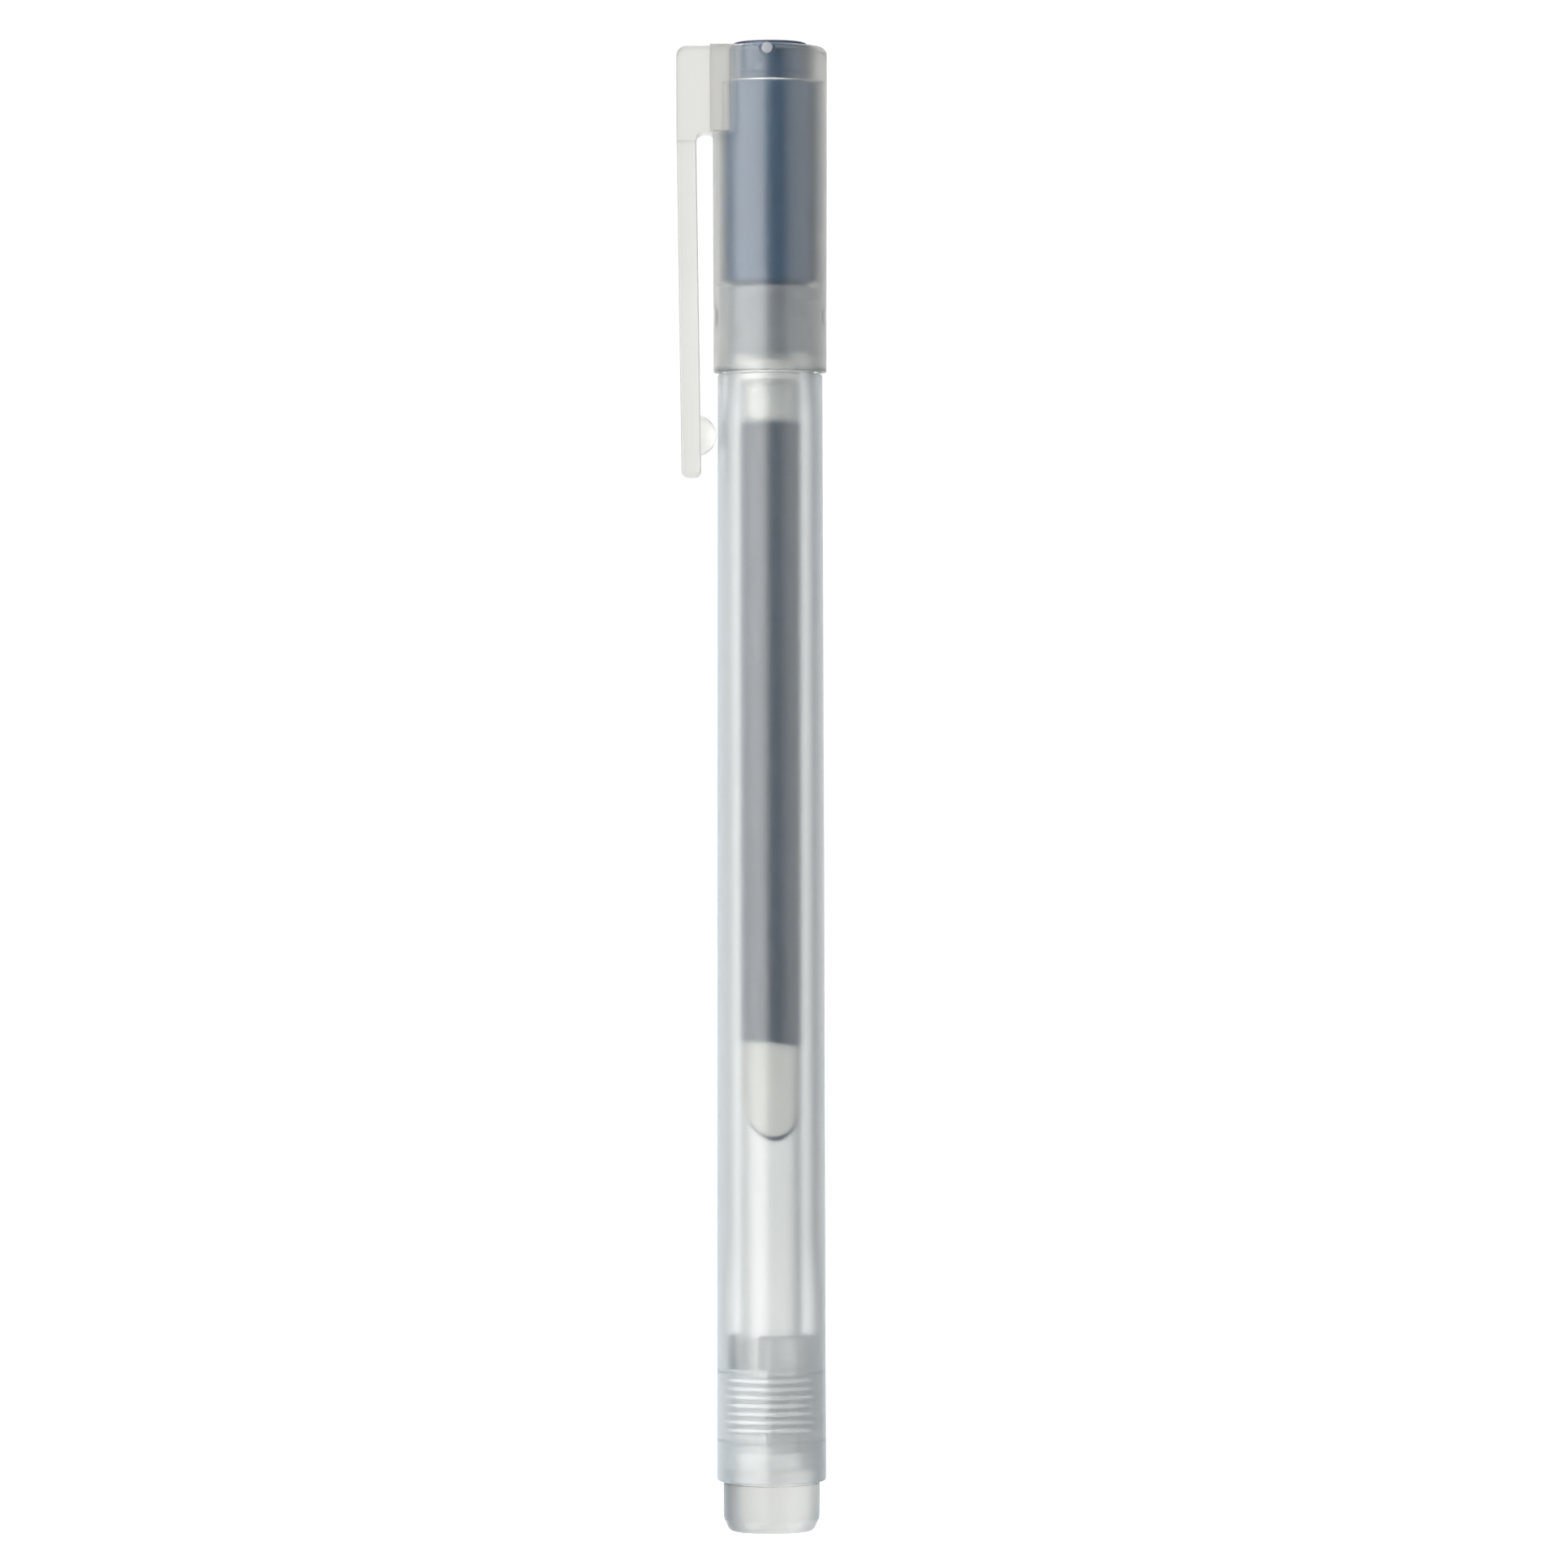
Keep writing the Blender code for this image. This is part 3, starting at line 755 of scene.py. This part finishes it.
def build_clip(material):
    """Arm of the pocket clip with its half-ball, bending under the root block."""
    clip = clip_solid("clip_frosted")
    keep_part(clip, CLIP_TIP_Z - 1 * MM, CLIP_SEAM_Z - SEAM_GAP / 2, CLIP_HALF_WIDTH - 0.001 * MM)
    rounded(clip)
    ball_radius = 2.08 * MM
    ball_x = -7.45 * MM
    ball_z = CLIP_TIP_Z + 4.2 * MM
    quarter = 12
    dome = [(0.0, ball_radius)]
    for step in range(1, quarter + 1):
        angle = math.pi / 2 * (1 - step / quarter)
        dome.append((ball_radius * math.cos(angle), ball_radius * math.sin(angle)))
    dome.append((0.0, 0.0))
    ball = turned("clip_ball_tool", dome, segments=48)
    ball.rotation_euler = (0.0, math.pi / 2, 0.0)
    ball.location = (ball_x, 0.0, ball_z)
    settle(ball)
    cut_with(clip, ball, "UNION")
    shaded(clip, material)
    weigh = clip.modifiers.new("flats", "WEIGHTED_NORMAL")
    weigh.keep_sharp = True
    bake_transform(clip)
    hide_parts("clip_arm")


def build_cap_plug(material, head_material):
    """Navy inner cap with its domed head. Its faces under the cap take a lighter, bluer navy that paints in
    the veil of light scattered through the frosted cap; the exposed head keeps the plastic's plain dark
    navy.
    """
    top = PEN_TOP / MM
    shoulder = CAP_SHELF / MM - 0.1
    mouth = PLUG_MOUTH / MM
    head = PLUG_HEAD_R / MM
    body = PLUG_R / MM
    mouth_bore = 4.25
    sleeve_bore = 3.95
    tip_bore = 1.48
    corners = [
        (0.0, top, 0.0),
        (head * 0.6, top - 0.05, 2.0),
        (head, top - 0.17, 0.25),
        (head, top - 3.25, 0.03),
        (head - 0.12, top - 3.35, 0.03),
        (head, top - 3.45, 0.03),
        (head, shoulder, 0.08),
        (body, shoulder, 0.2),
        (body, mouth, 0.12),
        (mouth_bore, mouth, 0.08),
        (mouth_bore, mouth + 1.2, 0.1),
        (sleeve_bore, mouth + 1.6, 0.1),
        (sleeve_bore, mouth + 5.1, 0.3),
        (tip_bore, mouth + 9.5, 0.3),
        (tip_bore, mouth + 14.5, 0.2),
        (0.0, mouth + 15.1, 0.0),
    ]
    plug = turned("inner_cap_navy", filleted(scaled(corners)))
    shaded(plug, material)
    plug.data.materials.append(head_material)
    # Faces above the cap's top get the plain dark navy; the rest keep the navy lightened with a painted
    # veil of scattered light.
    for face in plug.data.polygons:
        if face.center.z > CAP_TOP - 0.1 * MM:
            face.material_index = 1
    place(plug, "cap", "navy_plastic", "cap_plug")


def build_front_holder(material):
    """Navy nose in the barrel's neck, in the lighter navy that paints in a veil of light scattered through
    the frosted walls.
    """
    stop = NECK_END / MM + 0.3
    end = high_z("front_holder") / MM
    rear = low_z("front_holder") / MM
    spigot = NECK_BORE_R / MM - 0.08
    corners = [
        (1.40, end, 0.15),
        (1.40, end - 1.5, 0.2),
        (3.75, stop + 0.8, 0.1),
        (4.10, stop + 0.8, 0.1),
        (4.10, stop, 0.05),
        (spigot, stop, 0.05),
        (spigot, rear, 0.2),
        (2.10, rear, 0.1),
        (2.10, rear + 8.3, 0.2),
        (1.25, rear + 14.5, 0.2),
        (1.25, end, 0.08),
    ]
    holder = turned("nose_navy", filleted(scaled(corners)))
    shaded(holder, material)
    place(holder, "barrel", "navy_plastic", "front_holder")


def build_rear_plug(material):
    """Rear plug with its ribbed, slotted spigot."""
    head = BARREL_REAR / MM - 0.2
    top = high_z("rear_plug") / MM
    head_r = reach("rear_plug") / MM
    rib_r = RIB_R / MM
    core = SPIGOT_R / MM
    seat = 4.6
    socket = 3.3
    socket_floor = 6.2
    pitch = 0.83
    first = head + 5.55
    corners = [(core, top, 0.25)]
    for index in reversed(range(7)):
        middle = first + index * pitch
        corners += [
            (core, middle + 0.36 * pitch, 0.04),
            (rib_r, middle + 0.14 * pitch, 0.05),
            (rib_r, middle - 0.14 * pitch, 0.05),
            (core, middle - 0.36 * pitch, 0.04),
        ]
    corners += [
        (core, head + 4.3, 0.05),
        (seat, head + 4.1, 0.05),
        (seat, head, 0.05),
        (head_r, head, 0.12),
        (head_r, 1.35, 1.6),
        (head_r - 0.5, 0.22, 0.4),
        (head_r - 0.80, 0.0, 0.15),
        (0.0, 0.0, 0.0),
        (0.0, socket_floor, 0.0),
        (socket, socket_floor, 0.2),
        (socket, top - 0.3, 0.1),
        (socket + 0.3, top, 0.1),
    ]
    plug = turned("rear_plug_frosted", filleted(scaled(corners), steps=4), segments=96)
    slot = prism("slot_tool", [(-20 * MM, -2 * MM), (20 * MM, -2 * MM), (20 * MM, 2 * MM),
                               (-20 * MM, 2 * MM)], 3.4 * MM)
    slot.location = (0.0, 0.0, high_z("rear_plug"))
    slot.rotation_euler = (0.0, 0.0, math.radians(45))
    settle(slot)
    cut_with(plug, slot, "DIFFERENCE")
    shaded(plug, material)
    place(plug, "rear_plug", "frosted_plastic", "rear_plug")


def build_refill(tube_material, white_material, ink_material, grease_material):
    """Refill tube, white tip holder, ink and grease follower."""
    outer = REFILL_R / MM
    bore = REFILL_BORE_R / MM
    front = high_z("refill_tube") / MM
    tail = low_z("refill_tube") / MM
    tube = turned("refill_tube_clear", filleted(scaled([
        (outer, front, 0.12), (outer, tail, 0.12), (bore, tail, 0.08), (bore, front, 0.08)])))
    shaded(tube, tube_material)
    place(tube, "refill", "refill_plastic", "refill_tube")

    insert = REFILL_BORE_R / MM - 0.05
    rear = low_z("tip_holder") / MM
    tip = high_z("tip_holder") / MM
    holder = turned("tip_holder_white", filleted(scaled([
        (1.20, tip, 0.08), (1.95, tip - 6.0, 0.3), (1.95, tip - 14.6, 0.2), (outer, tip - 14.6, 0.2),
        (outer, front + 0.3, 0.08), (insert, front + 0.3, 0.05), (insert, rear, 0.15),
        (1.0, rear, 0.1), (1.0, tip, 0.06)])), segments=96)
    shaded(holder, white_material)
    place(holder, "refill", "white_plastic", "tip_holder")

    build_ink(ink_material)
    build_grease(grease_material)
    build_ink_streak(ink_material)


def slope(x, y, across, angle):
    """Height of a plane through the axis, rising by across over one bore radius towards an angle."""
    return across * (x * math.cos(angle) + y * math.sin(angle)) / WET_R


def ink_edge(x, y):
    """Height of the border between the ink and its follower, above its lowest level."""
    ripple = 0.08 * MM * math.sin(3 * math.atan2(y, x))
    return 0.35 * MM - slope(x, y, 0.25 * MM, 0.0) + ripple * math.hypot(x, y) / WET_R


def follower_edge(x, y):
    """Height of the follower's rear face above its middle: lowest at the front of the tube."""
    return slope(x, y, FOLLOWER_RISE, math.radians(95))


def build_ink(material):
    """Gel ink that wets the refill tube."""
    low = low_z("ink")
    high = high_z("ink")
    ink = turned("gel_ink", filleted([(0.0, high, 0.0), (WET_R, high, 0.15 * MM), (WET_R, low, 0.0),
                                      (WET_R * 0.66, low, 0.0), (WET_R * 0.33, low, 0.0), (0.0, low, 0.0)]),
                 segments=96)
    for vertex in ink.data.vertices:
        if vertex.co.z < low + 0.01 * MM:
            vertex.co.z += ink_edge(vertex.co.x, vertex.co.y)
    shaded(ink, material)
    place(ink, "refill", "blue_black_ink", "ink")


def build_grease(material):
    """Grease that follows the ink down the tube, with its slanted rear face."""
    high = low_z("ink") - 0.03 * MM
    middle = FOLLOWER_MIDDLE
    grease = turned("follower_grease", filleted([
        (0.0, high, 0.0), (WET_R * 0.33, high, 0.0), (WET_R * 0.66, high, 0.0), (WET_R, high, 0.0),
        (WET_R, middle, 0.0), (WET_R * 0.66, middle, 0.0), (WET_R * 0.33, middle, 0.0),
        (0.0, middle, 0.0)]), segments=96)
    for vertex in grease.data.vertices:
        edge = ink_edge if vertex.co.z > middle + 0.01 * MM else follower_edge
        vertex.co.z += edge(vertex.co.x, vertex.co.y)
    shaded(grease, material)
    place(grease, "refill", "clear_grease", "ink_follower")


def build_ink_streak(material):
    """Thin smear of ink left on the tube's wall along the rear edge of the follower."""
    outer = WET_R + 0.004 * MM
    inner = WET_R - 0.12 * MM
    start = math.radians(-140)
    finish = math.radians(-2)
    steps = 48
    mesh = bpy.data.meshes.new("ink_streak")
    shape = bmesh.new()
    rings = []
    for step in range(steps + 1):
        along = step / steps
        angle = start + (finish - start) * along
        height = 0.16 * MM + 0.34 * MM * math.sin(math.pi * along ** 1.2)
        edge = FOLLOWER_MIDDLE + follower_edge(WET_R * math.cos(angle), WET_R * math.sin(angle)) - 0.02 * MM
        ring = [(outer, edge), (outer, edge - height),
                (inner, edge - 0.8 * height), (inner, edge - 0.05 * MM)]
        rings.append([shape.verts.new((radius * math.cos(angle), radius * math.sin(angle), z))
                      for radius, z in ring])
    for near, far in zip(rings, rings[1:]):
        for index in range(4):
            following = (index + 1) % 4
            shape.faces.new((near[index], near[following], far[following], far[index]))
    shape.faces.new(rings[0][::-1])
    shape.faces.new(rings[-1])
    bmesh.ops.recalc_face_normals(shape, faces=shape.faces)
    shape.to_mesh(mesh)
    shape.free()
    streak = bpy.data.objects.new("ink_streak", mesh)
    bpy.context.scene.collection.objects.link(streak)
    shaded(streak, material)
    place(streak, "refill", "blue_black_ink")


def build_nib(steel, carbide):
    """Stainless tip and its ball."""
    ball_z = (low_z("ball") + high_z("ball")) / 2
    ball_r = (high_z("ball") - low_z("ball")) / 2
    seat_r = ball_r + 0.03 * MM
    tip = high_z("nib")
    rear = low_z("nib")
    corners = [
        (0.33 * MM, tip, 0.03 * MM),
        (1.15 * MM, tip - 2.95 * MM, 0.3 * MM),
        (1.15 * MM, rear + 4.8 * MM, 0.1 * MM),
        (0.92 * MM, rear + 4.8 * MM, 0.0),
        (0.92 * MM, rear, 0.1 * MM),
        (0.40 * MM, rear, 0.05 * MM),
        (0.40 * MM, ball_z - 1.2 * MM, 0.05 * MM),
        (0.16 * MM, ball_z - 0.8 * MM, 0.0),
    ]
    outline = filleted(corners)
    lowest = -math.acos(0.16 * MM / seat_r)
    highest = math.asin((tip - ball_z) / seat_r)
    steps = 8
    for step in range(steps + 1):
        angle = lowest + (highest - lowest) * step / steps
        outline.append((seat_r * math.cos(angle), ball_z + seat_r * math.sin(angle)))
    nib = turned("steel_tip", outline, FINE_SEGMENTS)
    shaded(nib, steel)
    place(nib, "refill", "stainless_steel", "nib")

    half_turn = [(ball_r * math.sin(math.pi * step / 24), ball_z + ball_r * math.cos(math.pi * step / 24))
                 for step in range(1, 24)]
    ball = turned("writing_ball", [(0.0, ball_z + ball_r)] + half_turn + [(0.0, ball_z - ball_r)],
                  FINE_SEGMENTS)
    shaded(ball, carbide)
    place(ball, "ball", "tungsten_carbide", "ball")


# --- The scene -----------------------------------------------------------------------------------

bpy.context.scene.view_settings.view_transform = "Standard"
bpy.context.scene.cycles.max_bounces = 24
bpy.context.scene.cycles.transmission_bounces = 24
bpy.context.scene.cycles.glossy_bounces = 12
make_camera()
make_world(front=0.25, back=1.18, seen_level=1.05)
softbox("left_softbox", azimuth=-46, elevation=0, distance=1.0, width=1.5, height=2.6,
        strength=2.9, tint=(1.0, 0.99, 0.97))
softbox("side_softbox", azimuth=-100, elevation=0, distance=1.0, width=0.5, height=2.6,
        strength=0.5, tint=(0.97, 0.99, 1.0))
softbox("right_softbox", azimuth=68, elevation=0, distance=1.0, width=1.2, height=2.6,
        strength=1.0, tint=(1.0, 0.98, 0.96))
softbox("top_softbox", azimuth=-10, elevation=62, distance=1.2, width=1.6, height=1.1,
        strength=2.2, tint=(1.0, 1.0, 1.0))
make_floor()

barrel_plastic = frosted_plastic(
    "frosted_barrel", bore_edge=REAR_BORE_R, bore_roughness=0.24, roughness=0.30, haze=0.13,
    density=75.0, clarity=(BARREL_SHOULDER, 1.0, 0.93))
cap_plastic = frosted_plastic(
    "frosted_cap", bore_edge=CAP_BORE_R + 0.2 * MM, bore_roughness=0.22, roughness=0.30, haze=0.03,
    density=115.0, clarity=(NECK_END, 0.99, gate_clarity))
plug_plastic = frosted_plastic(
    "frosted_plug", bore_edge=4.75 * MM, bore_roughness=0.15, roughness=0.30, haze=0.13,
    density=70.0, clarity=(BARREL_REAR, 1.0, spigot_clarity))
refill_plastic = frosted_plastic(
    "satin_refill", bore_edge=3.0 * MM, bore_roughness=0.22, roughness=0.22, haze=0.0,
    density=50.0, clarity=(BARREL_SHOULDER, 1.0, 0.98))
# The navy of the covered parts is lighter and bluer than the plastic's own dark navy (head_navy): painted
# light for the bluish veil scattered through the frosted cap and neck.
navy_with_painted_veil = solid_plastic("navy_plastic", (0.014, 0.060, 0.130), 0.28)
head_navy = solid_plastic("dark_navy_plastic", (0.006, 0.014, 0.040), 0.30)
white = solid_plastic("white_plastic", (0.92, 0.92, 0.89), 0.35)

build_barrel(barrel_plastic)
build_cap(cap_plastic)
build_clip(cap_plastic)
build_cap_plug(navy_with_painted_veil, head_navy)
build_front_holder(navy_with_painted_veil)
build_rear_plug(plug_plastic)
build_refill(refill_plastic, white, gel_ink(), follower_grease())
build_nib(turned_metal("stainless_steel", (0.62, 0.61, 0.59), 0.22),
          turned_metal("tungsten_carbide", (0.36, 0.36, 0.38), 0.12))
